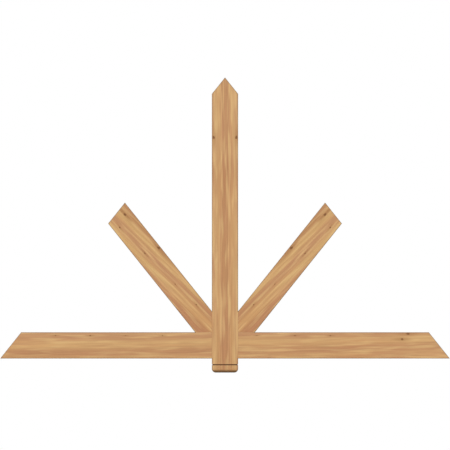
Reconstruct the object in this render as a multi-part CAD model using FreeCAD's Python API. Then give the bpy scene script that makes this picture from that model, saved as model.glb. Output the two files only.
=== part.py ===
import FreeCAD, Part
import math
import os

# A timber gable bracket, in millimetres: a tie beam crossed by a king post, with a strut either side.
# It is made in a vertical plane. X runs along the beam, Y from front to back and +Z is up.
# The origin is the middle of the post's foot. Every end is cut to the two slopes of the roof it fits under.

# Driving dimensions.
span = 1524.0  # the beam's underside, tip to tip
roof_slope = 1.25  # rise over run of the roof, 15 in 12
timber_thickness = 88.9  # front to back, the same in all four timbers
post_width = 88.9  # across the post's face
beam_height = 88.9  # up the beam's face
strut_width = 88.9  # square across a strut's face
strut_slope = 1.25  # rise over run of the struts
foot_drop = 47.625  # how far the post hangs below the beam
edge_radius = 3.175  # rounding of the outer edges, front and back
foot_radius = 12.7  # rounding of the four edges under the foot
groove_height = 26.5  # middle of the groove round the foot, above its underside
groove_width = 3.2
groove_depth = 1.6
lap_depth = 44.45  # how deep the beam's notch for the post is

# Worked out from those.
beam_top = foot_drop + beam_height
apex_height = foot_drop + roof_slope * span / 2.0
roof_half_base = span / 2.0 + foot_drop / roof_slope
front = -timber_thickness / 2.0
back = timber_thickness / 2.0
post_side = post_width / 2.0
through = FreeCAD.Vector(0.0, timber_thickness, 0.0)
flat_tolerance = 1e-6


def prism(outline):
    """A block with this outline, given as (x, z) corners, running from the front to the back."""
    corners = [FreeCAD.Vector(x, front, z) for x, z in outline]
    face = Part.Face(Part.makePolygon(corners + corners[:1]))
    return face.extrude(through)


def box(low, high):
    """A block between two opposite corners."""
    low_corner = FreeCAD.Vector(*low)
    size = FreeCAD.Vector(*high) - low_corner
    return Part.makeBox(size.x, size.y, size.z, low_corner)


def under_roof(timber):
    """The timber with its ends cut to the roof's two slopes."""
    roof = prism([(-roof_half_base, 0.0), (roof_half_base, 0.0), (0.0, apex_height)])
    return timber.common(roof)


def edges_in_level(shape, level):
    """The straight edges that lie flat at this height."""
    def is_level(edge):
        return all(abs(vertex.Z - level) < flat_tolerance for vertex in edge.Vertexes)
    return [edge for edge in shape.Edges if is_level(edge)]


def outline_edges(shape):
    """The edges round the front face and round the back face."""
    def lies_in(edge, y):
        return all(abs(vertex.Y - y) < flat_tolerance for vertex in edge.Vertexes)
    return [edge for edge in shape.Edges if lies_in(edge, front) or lies_in(edge, back)]


def post_timber():
    """The post's full length of timber, pointed at the top and square at the foot."""
    return under_roof(box((-post_side, front, 0.0), (post_side, back, apex_height)))


def beam_timber():
    """The beam's full length of timber, with both ends cut to the roof."""
    return under_roof(box((-span / 2.0, front, foot_drop), (span / 2.0, back, beam_top)))


def strut_timber(side):
    """One strut: side is 1 for the right and -1 for the left.

    Its centre line starts in the corner between the post and the beam, so that its foot sits
    on both, and its far end is cut to the roof.
    """
    angle = math.atan(strut_slope)
    seat_on_beam = strut_width / 2.0 / math.sin(angle)
    seat_on_post = strut_width / 2.0 / math.cos(angle)
    rise = apex_height - beam_top
    run = rise / strut_slope
    outline = [
        (post_side, beam_top),
        (post_side + seat_on_beam, beam_top),
        (post_side + seat_on_beam + run, beam_top + rise),
        (post_side + run, beam_top + seat_on_post + rise),
        (post_side, beam_top + seat_on_post),
    ]
    return under_roof(prism([(side * x, z) for x, z in outline]))


def assembled_envelope():
    """All the timbers as one, with the outer edges rounded as a router rounds them once they are joined."""
    joined = beam_timber().multiFuse([post_timber(), strut_timber(-1), strut_timber(1)])
    joined = joined.removeSplitter()
    return joined.makeFillet(edge_radius, outline_edges(joined))


def foot_groove():
    """The ring that is cut out of the foot's four sides."""
    low = groove_height - groove_width / 2.0
    high = groove_height + groove_width / 2.0
    outside = box((-post_side - groove_depth, front - groove_depth, low),
                  (post_side + groove_depth, back + groove_depth, high))
    inside = box((-post_side + groove_depth, front + groove_depth, low),
                 (post_side - groove_depth, back - groove_depth, high))
    return outside.cut(inside)


def king_post(envelope):
    """The post: whole in front of the beam, notched behind for it, with a grooved and rounded foot."""
    timber = post_timber()
    timber = timber.makeFillet(foot_radius, edges_in_level(timber, 0.0))
    notch = box((-post_side, front + lap_depth, foot_drop), (post_side, back, beam_top))
    return envelope.common(timber).cut(notch).cut(foot_groove())


def tie_beam(envelope):
    """The beam: one length from tip to tip, notched in front for the post."""
    notch = box((-post_side, front, foot_drop), (post_side, front + lap_depth, beam_top))
    return envelope.common(beam_timber()).cut(notch)


def strut(envelope, side):
    """A strut, with a foot of two faces and an end on the roof line."""
    return envelope.common(strut_timber(side))


def write(node, shape):
    """Write one piece to its own file, as a single checked solid."""
    assert shape.isValid() and len(shape.Solids) == 1, node
    shape.Solids[0].exportStep(f"parts/{node}.step")
    print(node, round(shape.Volume), shape.BoundBox)


os.makedirs("parts", exist_ok=True)
envelope = assembled_envelope()
write("king_post", king_post(envelope))
write("tie_beam", tie_beam(envelope))
write("left_strut", strut(envelope, -1))
write("right_strut", strut(envelope, 1))
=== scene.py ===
import math

import bmesh
import bpy
from mathutils import Matrix, Vector


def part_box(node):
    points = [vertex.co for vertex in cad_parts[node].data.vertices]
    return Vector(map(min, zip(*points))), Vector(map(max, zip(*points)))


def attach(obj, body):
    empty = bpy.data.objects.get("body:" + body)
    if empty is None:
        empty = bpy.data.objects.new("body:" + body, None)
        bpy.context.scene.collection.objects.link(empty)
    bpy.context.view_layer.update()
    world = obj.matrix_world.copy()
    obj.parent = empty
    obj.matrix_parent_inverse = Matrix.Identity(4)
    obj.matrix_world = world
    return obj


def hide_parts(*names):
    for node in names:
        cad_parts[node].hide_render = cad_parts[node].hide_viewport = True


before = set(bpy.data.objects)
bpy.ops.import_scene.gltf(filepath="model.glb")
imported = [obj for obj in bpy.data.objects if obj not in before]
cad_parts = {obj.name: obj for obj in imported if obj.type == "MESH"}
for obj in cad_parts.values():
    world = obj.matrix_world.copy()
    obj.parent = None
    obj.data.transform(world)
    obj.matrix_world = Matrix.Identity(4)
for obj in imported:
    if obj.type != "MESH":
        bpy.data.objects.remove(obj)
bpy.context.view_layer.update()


# ---- The joined timbers -----------------------------------------------------------------------
# Four lengths of planed cedar are cut to fit and joined flush, and then a round-over bit is run
# along every outer edge, front and back. The rounding is one job over the whole bracket, so this
# stock is shaped whole here, and each timber below is sawn out of a copy of it.

MM = 0.001
# Two places nearer to each other than this are one.
TOUCHING = 0.01 * MM
EDGE_RADIUS = 3.175 * MM
EDGE_STEPS = 5
STRUT_WIDTH = 88.9 * MM
STRUT_SLOPE = 1.25
# Faces that meet at a smaller angle than this are one flat face.
STILL_FLAT = math.radians(0.5)

post_low, post_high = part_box("king_post")
beam_low, beam_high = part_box("tie_beam")
front = post_low.y
back = post_high.y
thickness = back - front
post_side = post_high.x
peak = post_high.z
# The roof runs down from the peak to the tips of the beam's underside.
roof_slope = (peak - beam_low.z) / beam_high.x


def pick(piece):
    """Make this the only selected object."""
    bpy.ops.object.select_all(action="DESELECT")
    bpy.context.view_layer.objects.active = piece
    piece.select_set(True)


def block(name, low, high, turn=0.0):
    """A squared block between two corners, turned about its middle in the bracket's own plane."""
    low = Vector(low)
    high = Vector(high)
    bpy.ops.object.select_all(action="DESELECT")
    bpy.ops.mesh.primitive_cube_add(
        size=1.0, location=(low + high) / 2, rotation=(0, -turn, 0), scale=high - low)
    piece = bpy.context.object
    piece.name = name
    bpy.ops.object.transform_apply(location=True, rotation=True, scale=True)
    return piece


def combine(piece, other, how):
    """Join, cut or keep one block by another, which is used up."""
    step = piece.modifiers.new("combine", "BOOLEAN")
    step.object = other
    step.operation = how
    step.solver = "EXACT"
    pick(piece)
    bpy.ops.object.modifier_apply(modifier=step.name)
    bpy.data.objects.remove(other, do_unlink=True)


def select_edges(piece, wanted):
    """In edit mode, select only the edges that pass the test."""
    mesh = bmesh.from_edit_mesh(piece.data)
    for edge in mesh.edges:
        edge.select = wanted(edge)
    mesh.select_flush_mode()
    bmesh.update_edit_mesh(piece.data)


def start_edit(piece):
    """Go into edit mode on this piece, by edges, with nothing selected."""
    pick(piece)
    bpy.ops.object.mode_set(mode="EDIT")
    bpy.ops.mesh.select_mode(type="EDGE")
    bpy.ops.mesh.select_all(action="DESELECT")


def lies_at(edge, axis, place):
    """Whether both ends of an edge have this coordinate."""
    return all(abs(end.co[axis] - place) < TOUCHING for end in edge.verts)


def on_face(edge):
    """Whether an edge lies flat in the front or the back face."""
    return lies_at(edge, 1, front) or lies_at(edge, 1, back)


stock = block("joined_timbers", post_low, post_high)
combine(stock, block("beam_stock", beam_low, beam_high), "UNION")
strut_angle = math.atan(STRUT_SLOPE)
for side in (-1, 1):
    # A strut's centre line leaves the corner between the post and the beam, and runs out past the
    # roof, where it is cut below.
    half_length = beam_high.x / 2
    centre = Vector((side * (post_side + half_length * math.cos(strut_angle)), 0.0,
                     beam_high.z + half_length * math.sin(strut_angle)))
    half_size = Vector((half_length, thickness / 2, STRUT_WIDTH / 2))
    strut_stock = block("strut_stock", centre - half_size, centre + half_size, side * strut_angle)
    combine(stock, strut_stock, "UNION")

# The roof cuts, one each side, then the round-over along the outer edges.
start_edit(stock)
roof_normal = Vector((roof_slope, 0.0, 1.0)).normalized()
for side in (-1, 1):
    bpy.ops.mesh.select_all(action="SELECT")
    bpy.ops.mesh.bisect(plane_co=(0, 0, peak), plane_no=(side * roof_normal.x, 0, roof_normal.z),
                        use_fill=True, clear_outer=True)
bpy.ops.mesh.select_all(action="SELECT")
bpy.ops.mesh.dissolve_limited(angle_limit=STILL_FLAT)
select_edges(stock, on_face)
bpy.ops.mesh.bevel(offset=EDGE_RADIUS, segments=EDGE_STEPS, affect="EDGES", clamp_overlap=False)
bpy.ops.object.mode_set(mode="OBJECT")


# ---- King post ----------------------------------------------------------------------------------
# One upright length of cedar, whole in front of the beam and notched behind for it. Its foot hangs
# below the beam, with a saw groove round all four sides and its lower edges rounded over.

# A saw or a notch that goes right through ends this far out, in metres.
WELL_OUTSIDE = 2.0
SAW_CLEARANCE = Vector((1.0, 1.0, 1.0)) * TOUCHING / 2
JOINT_CHAMFER = 0.3 * MM
FOOT_RADIUS = 12.7 * MM
FOOT_ROUND_STEPS = 8
GROOVE_HEIGHT = 26.5 * MM
GROOVE_WIDTH = 3.2 * MM
GROOVE_DEPTH = 1.6 * MM
GROOVE_LIP = 0.3 * MM


def sawn_from_stock(name, low, high):
    """A copy of the joined stock, sawn down to what lies between two corners."""
    pick(stock)
    bpy.ops.object.duplicate()
    piece = bpy.context.object
    piece.name = name
    # The saw goes just inside each side, as a cut along a face that is there already leaves slivers.
    saw = block("saw", Vector(low) + SAW_CLEARANCE, Vector(high) - SAW_CLEARANCE)
    combine(piece, saw, "INTERSECT")
    start_edit(piece)
    bpy.ops.mesh.select_all(action="SELECT")
    bpy.ops.mesh.remove_doubles(threshold=TOUCHING)
    bpy.ops.mesh.dissolve_degenerate(threshold=TOUCHING)
    bpy.ops.mesh.delete_loose()
    bpy.ops.object.mode_set(mode="OBJECT")
    return piece


def ease_joint(piece, is_joint):
    """Take the sharp corner off the edges that meet another timber, which leaves a hairline there."""
    start_edit(piece)
    select_edges(piece, is_joint)
    bpy.ops.mesh.bevel(offset=JOINT_CHAMFER, segments=1, affect="EDGES", clamp_overlap=True)
    bpy.ops.mesh.select_all(action="SELECT")
    bpy.ops.mesh.remove_doubles(threshold=TOUCHING)
    bpy.ops.object.mode_set(mode="OBJECT")


king_post = sawn_from_stock("king_post_timber", (-post_side, -WELL_OUTSIDE, -WELL_OUTSIDE),
                            (post_side, WELL_OUTSIDE, WELL_OUTSIDE))
lap = block("lap", (-WELL_OUTSIDE, 0.0, beam_low.z), (WELL_OUTSIDE, WELL_OUTSIDE, beam_high.z))
combine(king_post, lap, "DIFFERENCE")

# The foot: the lowest part is sawn off, and its ring of edges is drawn down again, drawn in at
# the groove and round the bottom. Each step of the profile is a height and half the width there.
groove_top = GROOVE_HEIGHT + GROOVE_WIDTH / 2
groove_bottom = GROOVE_HEIGHT - GROOVE_WIDTH / 2
height_now = groove_top + 2 * GROOVE_LIP
half_now = post_side
start_edit(king_post)
bpy.ops.mesh.select_all(action="SELECT")
bpy.ops.mesh.bisect(plane_co=(0, 0, height_now), plane_no=(0, 0, 1), clear_inner=True)
foot_profile = [
    (groove_top + GROOVE_LIP, post_side),
    (groove_top, post_side - GROOVE_LIP),
    (groove_top, post_side - GROOVE_DEPTH),
    (groove_bottom, post_side - GROOVE_DEPTH),
    (groove_bottom, post_side - GROOVE_LIP),
    (groove_bottom - GROOVE_LIP, post_side),
    (FOOT_RADIUS, post_side),
]
for step in range(1, FOOT_ROUND_STEPS + 1):
    turned = math.radians(90) * step / FOOT_ROUND_STEPS
    foot_profile.append((FOOT_RADIUS * (1 - math.sin(turned)),
                         post_side - FOOT_RADIUS * (1 - math.cos(turned))))
for height, half in foot_profile:
    bpy.ops.mesh.extrude_edges_move(
        TRANSFORM_OT_translate={"value": (0, 0, height - height_now)})
    grow = half / half_now
    bpy.ops.transform.resize(value=(grow, grow, 1), center_override=(0, 0, height))
    height_now = height
    half_now = half
bpy.ops.mesh.edge_face_add()
bpy.ops.mesh.select_all(action="SELECT")
bpy.ops.mesh.normals_make_consistent(inside=False)
bpy.ops.object.mode_set(mode="OBJECT")

seat_top = beam_high.z + STRUT_WIDTH / 2 / math.cos(strut_angle)


def beside_post(edge):
    """Whether an edge is a joint line down the post's side, from the beam up to a strut's top."""
    in_height = all(beam_low.z - TOUCHING < end.co.z < seat_top + TOUCHING for end in edge.verts)
    on_side = lies_at(edge, 0, post_side) or lies_at(edge, 0, -post_side)
    return in_height and on_face(edge) and on_side


def along_beam(edge):
    """Whether an edge is a joint line along the beam's top or underside."""
    return on_face(edge) and (lies_at(edge, 2, beam_high.z) or lies_at(edge, 2, beam_low.z))


ease_joint(king_post, lambda edge: beside_post(edge) or along_beam(edge))

# Western red cedar, planed smooth and left unfinished. To the eye it is a matt, warm tan with soft
# streaks along the grain, from pinkish brown to straw yellow, fine dark growth lines and pin knots.
STRAW = "#D8B47A"
PINK = "#B07D58"
LATE_WOOD = "#8E5E34"
KNOT_HEART = "#7A4E25"
KNOT_HALO = "#9A6A3A"
END_GRAIN = "#8E623A"
# Painted shade: the rounded edges are darkened toward this colour, where they turn from the light.
EDGE_PAINTED_SHADE = "#6E5636"
# Painted shade: the inside of the saw groove is darkened toward this colour.
GROOVE_PAINTED_SHADE = "#4A240C"

# Soft noise drawn out along the grain: how long and wide its blobs are in mm, and its detail.
# Real fibres are about 0.05 mm wide; the finest here are drawn 0.7 mm wide, or they could not be seen.
GRAIN_NOISE = {
    "drift": (420, 60, 1),
    "waves": (90, 16, 1),
    "zone_ends": (150, 12, 2),
    "straw": (110, 9, 1),
    "pink": (150, 14, 1),
    "lines": (260, 22, 2),
    "streaks": (150, 3.4, 3),
    "fibres": (45, 0.7, 2),
    "knot_edge": (7, 4, 2),
}
# A timber's seed moves its noise along the grain, and this much of it across the face and out.
SEED_ACROSS = 1.7
SEED_OUT = 0.6

# In mm: how far the grain drifts and waves across the face, how wide a growth ring is, how far a
# growth line wanders, how far the rings bend at a knot, and how ragged the end of a tint is.
DRIFT = 12.0
WAVES = 3.5
RING_WIDTH = 2.6
LINE_WANDER = 3.0
KNOT_BEND = 3.0
ZONE_RAGGED = 60.0

# A knot's heart and halo: how much they are squeezed along the grain, and, as shares of the knot's
# width, how ragged the heart is, where each starts and where it is full, and the halo's strength.
HEART_SQUEEZE = (0.7, 1.0, 1.0)
HEART_RAGGED = 0.7
HEART_STARTS = 0.95
HEART_FULL = 0.55
HALO_SQUEEZE = (0.17, 1.0, 1.0)
HALO_STARTS = 1.1
HALO_FULL = 0.2
MOST_HALO = 0.45

# Patches start and are full at these levels of their noise. Late wood starts at this share of a
# ring. The rest is how strongly each is mixed in, at most.
PATCH_STARTS = 0.48
PATCH_FULL = 0.72
MOST_PINK = 0.4
MOST_STRAW = 0.6
LATE_STARTS = 0.45
MOST_LATE = 0.3

# Fibres and streaks multiply the colour around this mean, which is over 1 because the growth lines
# only darken it.
MEAN_LEVEL = 1.035
FIBRE_DEPTH = 0.26
STREAK_DEPTH = 0.38

# End grain goes by how nearly the surface faces along the grain, from 0 to 1. The painted shade on
# the rounded edges goes by how nearly it faces the front or the back: it leaves the flat face between
# FACE_FLAT and FACE_TURNED, and the flat side between SIDE_FLAT and SIDE_TURNED.
END_STARTS = 0.15
END_FULL = 0.6
MOST_END = 0.6
FACE_FLAT = 0.97
FACE_TURNED = 0.8
SIDE_FLAT = 0.05
SIDE_TURNED = 0.3
MOST_EDGE_SHADE = 0.7

# The relief of planed wood, and its roughness where it is darkest and where it is palest.
RELIEF_DEPTH = 0.2 * MM
RELIEF_STRENGTH = 0.5
LATE_LOWER = -0.8
KNOT_LOWER = -0.6
DARKEST = 0.85
PALEST = 1.15
DARK_ROUGHNESS = 0.68
PALE_ROUGHNESS = 0.55
WOOD_IOR = 1.5
WOOD_SPECULAR = 0.35

# The numbers of a colour Mix node's inputs.
FACTOR = 0
UNDER = 6
OVER = 7


def linear(hex_colour):
    """An sRGB hex colour as linear red, green, blue and alpha."""
    parts = [int(hex_colour[i:i + 2], 16) / 255 for i in (1, 3, 5)]
    return [p / 12.92 if p <= 0.04045 else ((p + 0.055) / 1.055) ** 2.4 for p in parts] + [1.0]


def add(tree, kind, inputs, stops=None, **settings):
    """Add one node with its settings. An input is a value, a socket, or a node's output in use.

    stops: (place from 0 to 1, colour), for a colour ramp.
    """
    new = tree.nodes.new(kind)
    for name, value in settings.items():
        setattr(new, name, value)
    for name, value in inputs.items():
        if isinstance(value, bpy.types.Node):
            value = next(socket for socket in value.outputs if socket.enabled)
        if isinstance(value, bpy.types.NodeSocket):
            tree.links.new(value, new.inputs[name])
        else:
            new.inputs[name].default_value = value
    if stops:
        ramp = new.color_ramp
        ramp.interpolation = "B_SPLINE"
        while len(ramp.elements) < len(stops):
            ramp.elements.new(1.0)
        for element, (place, colour) in zip(ramp.elements, sorted(stops)):
            element.position = place
            element.color = linear(colour)
    return new


def cedar(name, origin, grain, pith, bands, zones, knots, lean=0.0, mirrored=False, seed=0.0,
          groove=None):
    """One timber's own cedar.

    origin and grain: where its centre line starts on the front face, and which way that runs.
    pith: the heart of the tree, across the face and out of it, from the centre line, in mm.
    bands: (mm across the face, colour), for the streaks that the growth rings draw.
    zones: (mm along the timber, colour), a tint that changes down its length; white is none.
    knots: (mm along, mm across, mm wide).
    lean: how far the grain wanders across the face for each unit along it.
    mirrored: whether this timber is the mirror image of the one that the sizes are given for.
    seed: which part of the noise this timber is cut from.
    groove: (mm along, half its width), for a saw groove, with shade painted inside it.
    """
    material = bpy.data.materials.new(name)
    material.use_nodes = True
    tree = material.node_tree
    tree.nodes.clear()

    # Timber space in millimetres: X along the grain, Y across the face, Z out of the front face.
    along_axis = Vector(grain).normalized()
    out_axis = Vector((0.0, -1.0, 0.0))
    turn = Matrix((along_axis, out_axis.cross(along_axis), out_axis))
    flip = Vector((-1.0 if mirrored else 1.0, 1.0, 1.0))
    place = add(tree, "ShaderNodeTexCoord", {})
    timber = add(tree, "ShaderNodeMapping", {
        "Vector": place.outputs["Object"], "Location": -(turn @ Vector(origin)) / MM,
        "Rotation": turn.to_euler(), "Scale": flip / MM})
    along, across, out = add(tree, "ShaderNodeSeparateXYZ", {0: timber}).outputs
    leaning = add(tree, "ShaderNodeMath", {0: along, 1: -lean, 2: across}, operation="MULTIPLY_ADD")
    in_grain = add(tree, "ShaderNodeCombineXYZ", {0: along, 1: leaning, 2: out})
    noise = {}
    for order, (use, (length, width, detail)) in enumerate(GRAIN_NOISE.items()):
        stretched = add(tree, "ShaderNodeMapping", {
            "Vector": in_grain,
            "Location": (seed + order, seed * SEED_ACROSS + order, seed * SEED_OUT),
            "Scale": (1 / length, 1 / width, 1 / width)})
        noise[use] = add(tree, "ShaderNodeTexNoise", {
            "Vector": stretched, "Scale": 1.0, "Detail": detail})

    # Knots: a heart with a ragged edge, and a halo drawn out along the grain on both sides of it.
    heart = 0.0
    halo = 0.0
    on_the_face = add(tree, "ShaderNodeCombineXYZ", {0: along, 1: across})
    for knot_along, knot_across, knot_width in knots:
        gap = add(tree, "ShaderNodeVectorMath", {
            0: on_the_face, 1: (knot_along, knot_across, 0.0)}, operation="SUBTRACT")
        rounder = add(tree, "ShaderNodeVectorMath", {0: gap, 1: HEART_SQUEEZE}, operation="MULTIPLY")
        away = add(tree, "ShaderNodeVectorMath", {0: rounder}, operation="LENGTH")
        ragged = add(tree, "ShaderNodeMath", {
            0: noise["knot_edge"], 1: knot_width * HEART_RAGGED, 2: away}, operation="MULTIPLY_ADD")
        core = add(tree, "ShaderNodeMapRange", {
            "Value": ragged, "From Min": knot_width * HEART_STARTS,
            "From Max": knot_width * HEART_FULL}, interpolation_type="SMOOTHSTEP")
        heart = add(tree, "ShaderNodeMath", {0: core, 1: heart}, operation="MAXIMUM")
        longer = add(tree, "ShaderNodeVectorMath", {0: gap, 1: HALO_SQUEEZE}, operation="MULTIPLY")
        near = add(tree, "ShaderNodeVectorMath", {0: longer}, operation="LENGTH")
        tail = add(tree, "ShaderNodeMapRange", {
            "Value": near, "From Min": knot_width * HALO_STARTS, "From Max": knot_width * HALO_FULL,
            "To Max": MOST_HALO}, interpolation_type="SMOOTHSTEP")
        halo = add(tree, "ShaderNodeMath", {0: tail, 1: halo}, operation="MAXIMUM")

    # Growth rings: the distance from the pith, which wanders down the length and bends at knots.
    drift = add(tree, "ShaderNodeMath", {
        0: noise["drift"], 1: DRIFT, 2: -DRIFT / 2}, operation="MULTIPLY_ADD")
    waves = add(tree, "ShaderNodeMath", {
        0: noise["waves"], 1: WAVES, 2: -WAVES / 2}, operation="MULTIPLY_ADD")
    wander = add(tree, "ShaderNodeMath", {0: drift, 1: waves}, operation="ADD")
    wander = add(tree, "ShaderNodeMath", {
        0: halo, 1: KNOT_BEND, 2: wander}, operation="MULTIPLY_ADD")
    bent = add(tree, "ShaderNodeMath", {0: leaning, 1: wander}, operation="ADD")
    section = add(tree, "ShaderNodeCombineXYZ", {1: bent, 2: out})
    from_pith = add(tree, "ShaderNodeVectorMath", {
        0: section, 1: (0.0, pith[0], pith[1])}, operation="SUBTRACT")
    radius = add(tree, "ShaderNodeVectorMath", {0: from_pith}, operation="LENGTH")

    # The broad streaks are one colour ramp over the ring radius, its stops given across the face.
    radii = [math.hypot(mm - pith[0], pith[1]) for mm, _ in bands]
    lowest = min(radii)
    highest = max(radii)
    share = add(tree, "ShaderNodeMapRange", {
        "Value": radius, "From Min": lowest, "From Max": highest})
    colour = add(tree, "ShaderNodeValToRGB", {0: share}, stops=[
        ((ring - lowest) / (highest - lowest), shade) for ring, (_, shade) in zip(radii, bands)])

    # The tint that changes down the length, its zones ending raggedly along the grain.
    first_zone = zones[0][0]
    last_zone = zones[-1][0]
    zone_place = add(tree, "ShaderNodeMath", {
        0: noise["zone_ends"], 1: ZONE_RAGGED, 2: along}, operation="MULTIPLY_ADD")
    zone_share = add(tree, "ShaderNodeMapRange", {
        "Value": zone_place, "From Min": first_zone + ZONE_RAGGED / 2,
        "From Max": last_zone + ZONE_RAGGED / 2})
    tint = add(tree, "ShaderNodeValToRGB", {0: zone_share}, stops=[
        ((mm - first_zone) / (last_zone - first_zone), shade) for mm, shade in zones])
    colour = add(tree, "ShaderNodeMix", {FACTOR: 1.0, UNDER: colour, OVER: tint},
                 data_type="RGBA", blend_type="MULTIPLY")

    # Pinkish patches about 150 mm long, then straw-yellow ones about 110 mm long.
    for use, shade, most in (("pink", PINK, MOST_PINK), ("straw", STRAW, MOST_STRAW)):
        patch = add(tree, "ShaderNodeMapRange", {
            "Value": noise[use], "From Min": PATCH_STARTS, "From Max": PATCH_FULL, "To Max": most})
        colour = add(tree, "ShaderNodeMix", {
            FACTOR: patch, UNDER: colour, OVER: linear(shade)}, data_type="RGBA")

    # Growth lines: late wood darkens each ring toward its outside.
    ring = add(tree, "ShaderNodeMath", {
        0: noise["lines"], 1: LINE_WANDER, 2: radius}, operation="MULTIPLY_ADD")
    ring = add(tree, "ShaderNodeMath", {0: ring, 1: RING_WIDTH}, operation="DIVIDE")
    ring = add(tree, "ShaderNodeMath", {0: ring}, operation="FRACT")
    late = add(tree, "ShaderNodeMapRange", {
        "Value": ring, "From Min": LATE_STARTS, "From Max": 1.0, "To Max": MOST_LATE})
    colour = add(tree, "ShaderNodeMix", {
        FACTOR: late, UNDER: colour, OVER: linear(LATE_WOOD)}, data_type="RGBA")

    # Fine fibres and broader streaks lighten and darken all of it.
    fibres = add(tree, "ShaderNodeMath", {
        0: noise["fibres"], 1: FIBRE_DEPTH, 2: MEAN_LEVEL - FIBRE_DEPTH / 2},
        operation="MULTIPLY_ADD")
    streaks = add(tree, "ShaderNodeMath", {
        0: noise["streaks"], 1: STREAK_DEPTH, 2: -STREAK_DEPTH / 2}, operation="MULTIPLY_ADD")
    level = add(tree, "ShaderNodeMath", {0: fibres, 1: streaks}, operation="ADD")
    shade = add(tree, "ShaderNodeCombineColor", {0: level, 1: level, 2: level})
    colour = add(tree, "ShaderNodeMix", {FACTOR: 1.0, UNDER: colour, OVER: shade},
                 data_type="RGBA", blend_type="MULTIPLY")

    # Where the surface cuts across the fibres the end grain shows, darker, with its rings.
    cut = add(tree, "ShaderNodeVectorMath", {
        0: place.outputs["Normal"], 1: (along_axis.x * flip.x, 0.0, along_axis.z)},
        operation="DOT_PRODUCT")
    cut = add(tree, "ShaderNodeMath", {0: cut}, operation="ABSOLUTE")
    end = add(tree, "ShaderNodeMapRange", {
        "Value": cut, "From Min": END_STARTS, "From Max": END_FULL, "To Max": MOST_END})
    colour = add(tree, "ShaderNodeMix", {
        FACTOR: end, UNDER: colour, OVER: linear(END_GRAIN)}, data_type="RGBA")
    end_rings = add(tree, "ShaderNodeMath", {0: late, 1: end}, operation="MULTIPLY")
    colour = add(tree, "ShaderNodeMix", {
        FACTOR: end_rings, UNDER: colour, OVER: linear(KNOT_HEART)}, data_type="RGBA")

    # Painted shade: the rounded edges, which face neither the front nor the side, are darkened.
    facing = add(tree, "ShaderNodeSeparateXYZ", {0: place.outputs["Normal"]})
    facing = add(tree, "ShaderNodeMath", {0: facing.outputs["Y"]}, operation="ABSOLUTE")
    off_front = add(tree, "ShaderNodeMapRange", {
        "Value": facing, "From Min": FACE_FLAT, "From Max": FACE_TURNED, "To Max": MOST_EDGE_SHADE})
    off_side = add(tree, "ShaderNodeMapRange", {
        "Value": facing, "From Min": SIDE_FLAT, "From Max": SIDE_TURNED})
    rounding = add(tree, "ShaderNodeMath", {0: off_front, 1: off_side}, operation="MULTIPLY")
    colour = add(tree, "ShaderNodeMix", {
        FACTOR: rounding, UNDER: colour, OVER: linear(EDGE_PAINTED_SHADE)}, data_type="RGBA")

    # The knots, and the shade painted inside the groove, lie over all of that.
    colour = add(tree, "ShaderNodeMix", {
        FACTOR: halo, UNDER: colour, OVER: linear(KNOT_HALO)}, data_type="RGBA")
    colour = add(tree, "ShaderNodeMix", {
        FACTOR: heart, UNDER: colour, OVER: linear(KNOT_HEART)}, data_type="RGBA")
    # Painted shade inside the groove, by its height along the post.
    if groove:
        inside = add(tree, "ShaderNodeMath", {
            0: along, 1: groove[0], 2: groove[1]}, operation="COMPARE")
        colour = add(tree, "ShaderNodeMix", {
            FACTOR: inside, UNDER: colour, OVER: linear(GROOVE_PAINTED_SHADE)}, data_type="RGBA")

    # The relief is faint: pale fibres stand up a little, and the growth lines and knots lie lower.
    height = add(tree, "ShaderNodeMath", {
        0: late, 1: LATE_LOWER, 2: level}, operation="MULTIPLY_ADD")
    height = add(tree, "ShaderNodeMath", {
        0: heart, 1: KNOT_LOWER, 2: height}, operation="MULTIPLY_ADD")
    relief = add(tree, "ShaderNodeBump", {
        "Height": height, "Strength": RELIEF_STRENGTH, "Distance": RELIEF_DEPTH})
    rough = add(tree, "ShaderNodeMapRange", {
        "Value": level, "From Min": DARKEST, "From Max": PALEST,
        "To Min": DARK_ROUGHNESS, "To Max": PALE_ROUGHNESS})
    surface = add(tree, "ShaderNodeBsdfPrincipled", {
        "Base Color": colour, "Roughness": rough, "IOR": WOOD_IOR,
        "Specular IOR Level": WOOD_SPECULAR, "Normal": relief})
    add(tree, "ShaderNodeOutputMaterial", {"Surface": surface})
    return material


SMOOTH_BELOW = math.radians(35)


def smooth_rounding(piece):
    """Shade the rounded edges smooth and keep the flats flat."""
    pick(piece)
    bpy.ops.object.shade_smooth_by_angle(angle=SMOOTH_BELOW)
    weigh = piece.modifiers.new("weigh", "WEIGHTED_NORMAL")
    weigh.keep_sharp = True
    bpy.ops.object.modifier_apply(modifier=weigh.name)


def finish_timber(piece, material, node):
    """Give a finished timber its wood, and put it in the place of its plain solid."""
    smooth_rounding(piece)
    piece.data.materials.clear()
    piece.data.materials.append(material)
    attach(piece, "root")
    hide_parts(node)


post_cedar = cedar(
    "planed_cedar_post", origin=(0.0, front, 0.0), grain=(0.0, 0.0, 1.0), pith=(0.0, -36.0),
    bands=[(0, "#B08156"), (9, "#B5865D"), (17, "#BF9262"), (25, "#BD9160"), (33, "#C8A26F"),
           (41, "#B6885D"), (60, "#BA8C5D"), (80, "#B4845A"), (100, "#C2986A")],
    zones=[(0, "#FFFDFA"), (560, "#FFFDFA"), (640, "#F8F0EC"), (695, "#F6EEEA"), (735, "#FFFFFF"),
           (1000, "#FFFFFF")],
    knots=[(797, 38.5, 9.0), (797, -38.5, 9.0)], seed=3.0,
    groove=(GROOVE_HEIGHT / MM, (GROOVE_WIDTH / 2 + TOUCHING) / MM))
finish_timber(king_post, post_cedar, "king_post")


# ---- Tie beam -----------------------------------------------------------------------------------
# One level length of cedar from tip to tip, its ends cut to the roof. It is notched in front to
# half its thickness, where the post crosses it.

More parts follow.
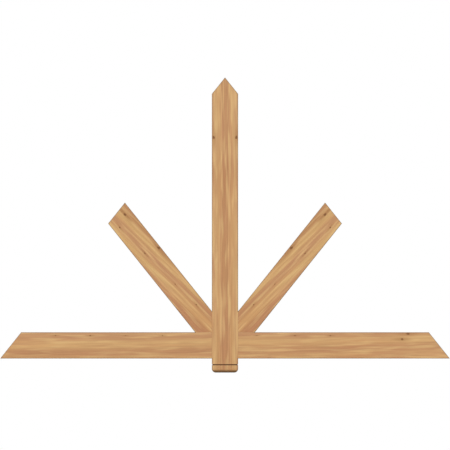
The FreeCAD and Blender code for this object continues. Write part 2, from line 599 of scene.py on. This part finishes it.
tie_beam = sawn_from_stock("tie_beam_timber", (-WELL_OUTSIDE, -WELL_OUTSIDE, beam_low.z),
                           (WELL_OUTSIDE, WELL_OUTSIDE, beam_high.z))
lap = block("lap", (-post_side, -WELL_OUTSIDE, -WELL_OUTSIDE), (post_side, 0.0, WELL_OUTSIDE))
combine(tie_beam, lap, "DIFFERENCE")
seat_end = post_side + STRUT_WIDTH / 2 / math.sin(strut_angle)
ease_joint(tie_beam, lambda edge: beside_post(edge) or (
    along_beam(edge) and all(abs(end.co.x) < seat_end + TOUCHING for end in edge.verts)))
beam_cedar = cedar(
    "planed_cedar_beam", origin=(0.0, front, (beam_low.z + beam_high.z) / 2), grain=(1.0, 0.0, 0.0),
    pith=(-80.0, -52.0),
    bands=[(-44, "#BF9060"), (-34, "#C79B68"), (-24, "#B5855A"), (-14, "#B4845A"), (-6, "#BC8F60"),
           (3, "#C69A66"), (15, "#CAA26C"), (25, "#BC8E60"), (36, "#BA8B61"), (44, "#BF9265")],
    zones=[(-762, "#FFFAF6"), (-560, "#FFFFFF"), (380, "#FFFFFF"), (470, "#FCF4F2"),
           (580, "#FFFFFF"), (762, "#FFFFFF")],
    knots=[(600, 21, 8.0), (620, 39, 9.0), (-575, 33, 4.0), (-457, 33, 4.0), (-337, 33, 3.0),
           (-212, 33, 4.0), (108, 33, 3.0), (237, 33, 4.0), (357, 33, 4.0)],
    lean=0.016, seed=11.0)
finish_timber(tie_beam, beam_cedar, "tie_beam")


# ---- Struts -------------------------------------------------------------------------------------
# Two short lengths of cedar, one each side, mirror images of each other down to the grain. Each
# foot has two faces, on the beam's top and the post's side, and the far end is cut to the roof.

for side, name in ((1, "right"), (-1, "left")):
    near_corner = (side * post_side, -WELL_OUTSIDE, beam_high.z)
    far_corner = (side * WELL_OUTSIDE, WELL_OUTSIDE, WELL_OUTSIDE)
    low = [min(pair) for pair in zip(near_corner, far_corner)]
    high = [max(pair) for pair in zip(near_corner, far_corner)]
    strut = sawn_from_stock(f"{name}_strut_timber", low, high)
    ease_joint(strut, lambda edge: beside_post(edge) or along_beam(edge))
    strut_cedar = cedar(
        f"planed_cedar_{name}_strut", origin=(post_side, front, beam_high.z),
        grain=(math.cos(strut_angle), 0.0, math.sin(strut_angle)), pith=(150.0, -60.0),
        bands=[(-44, "#B6875D"), (-20, "#AE7D58"), (-4, "#B98A5C"), (9, "#CEA86E"), (22, "#B98A5C"),
               (37, "#B3835D"), (47, "#B98B5D"), (57, "#CAA36A"), (70, "#B6895A"), (84, "#A5744B"),
               (104, "#BC8F60")],
        zones=[(0, "#FBF1EC"), (120, "#FFFAF6"), (260, "#FFFFFF"), (580, "#FFFFFC")],
        knots=[(336, 38, 9.0), (496, 19, 9.0), (472, -22, 5.0), (351, -10, 5.0), (106, 17, 4.0),
               (205, 5, 3.0)],
        lean=-0.105, mirrored=side < 0, seed=7.0)
    finish_timber(strut, strut_cedar, f"{name}_strut")

bpy.data.objects.remove(stock, do_unlink=True)


# ---- Floor, light and camera --------------------------------------------------------------------
# A pale seamless floor under even studio light: a broad soft lamp in front, a weaker one behind, and
# a light sky all round. The camera looks square on at the front, from far away.

WHITE = "#FFFFFF"
PAPER = "#F2F2F2"
PAPER_ROUGHNESS = 0.9
FLOOR_SIZE = 60.0
FRAME_WIDTH = 1.525
CAMERA_DISTANCE = 6.0
SKY_STRENGTH = 0.68
LAMP_SPREAD = 35.0

bpy.ops.object.select_all(action="DESELECT")
bpy.ops.mesh.primitive_plane_add(size=FLOOR_SIZE)
floor = bpy.context.object
floor.name = "studio_floor"

# Uncoated paper off a roll: a plain off-white with no shine.
paper = bpy.data.materials.new("matt_white_paper")
paper.use_nodes = True
paper_surface = paper.node_tree.nodes["Principled BSDF"]
paper_surface.inputs["Base Color"].default_value = linear(PAPER)
paper_surface.inputs["Roughness"].default_value = PAPER_ROUGHNESS
floor.data.materials.append(paper)

# The sky lights the bracket softly, and looks plain white where it is seen or mirrored itself.
world = bpy.data.worlds.new("pale_sky")
bpy.context.scene.world = world
world.use_nodes = True
sky = world.node_tree
sky.nodes.clear()
seen = add(sky, "ShaderNodeLightPath", {})
shown = add(sky, "ShaderNodeMath", {
    0: seen.outputs["Is Camera Ray"], 1: seen.outputs["Is Glossy Ray"]}, operation="MAXIMUM")
shown = add(sky, "ShaderNodeMath", {
    0: shown, 1: seen.outputs["Is Transmission Ray"]}, operation="MAXIMUM")
strength = add(sky, "ShaderNodeMapRange", {
    "Value": shown, "To Min": SKY_STRENGTH, "To Max": 1.0})
glow = add(sky, "ShaderNodeBackground", {"Color": linear(WHITE), "Strength": strength})
add(sky, "ShaderNodeOutputWorld", {"Surface": glow})


def soft_lamp(name, place, strength):
    """A wide, far-off lamp that shines from this place toward the bracket, the same all over."""
    lamp_data = bpy.data.lights.new(name, "SUN")
    lamp_data.angle = math.radians(LAMP_SPREAD)
    lamp_data.energy = strength
    lamp = bpy.data.objects.new(name, lamp_data)
    bpy.context.collection.objects.link(lamp)
    lamp.location = place
    lamp.rotation_euler = (-lamp.location).to_track_quat("-Z", "Y").to_euler()


soft_lamp("front_lamp", place=(-0.8, -3.4, 2.0), strength=1.15)
soft_lamp("back_lamp", place=(1.2, 3.2, 2.2), strength=0.9)

camera_data = bpy.data.cameras.new("camera")
camera_data.type = "ORTHO"
camera_data.ortho_scale = FRAME_WIDTH
camera = bpy.data.objects.new("camera", camera_data)
bpy.context.collection.objects.link(camera)
camera.location = (0.0, -CAMERA_DISTANCE, peak / 2)
camera.rotation_euler = (math.radians(90), 0.0, 0.0)
bpy.context.scene.camera = camera
bpy.context.scene.view_settings.view_transform = "Standard"
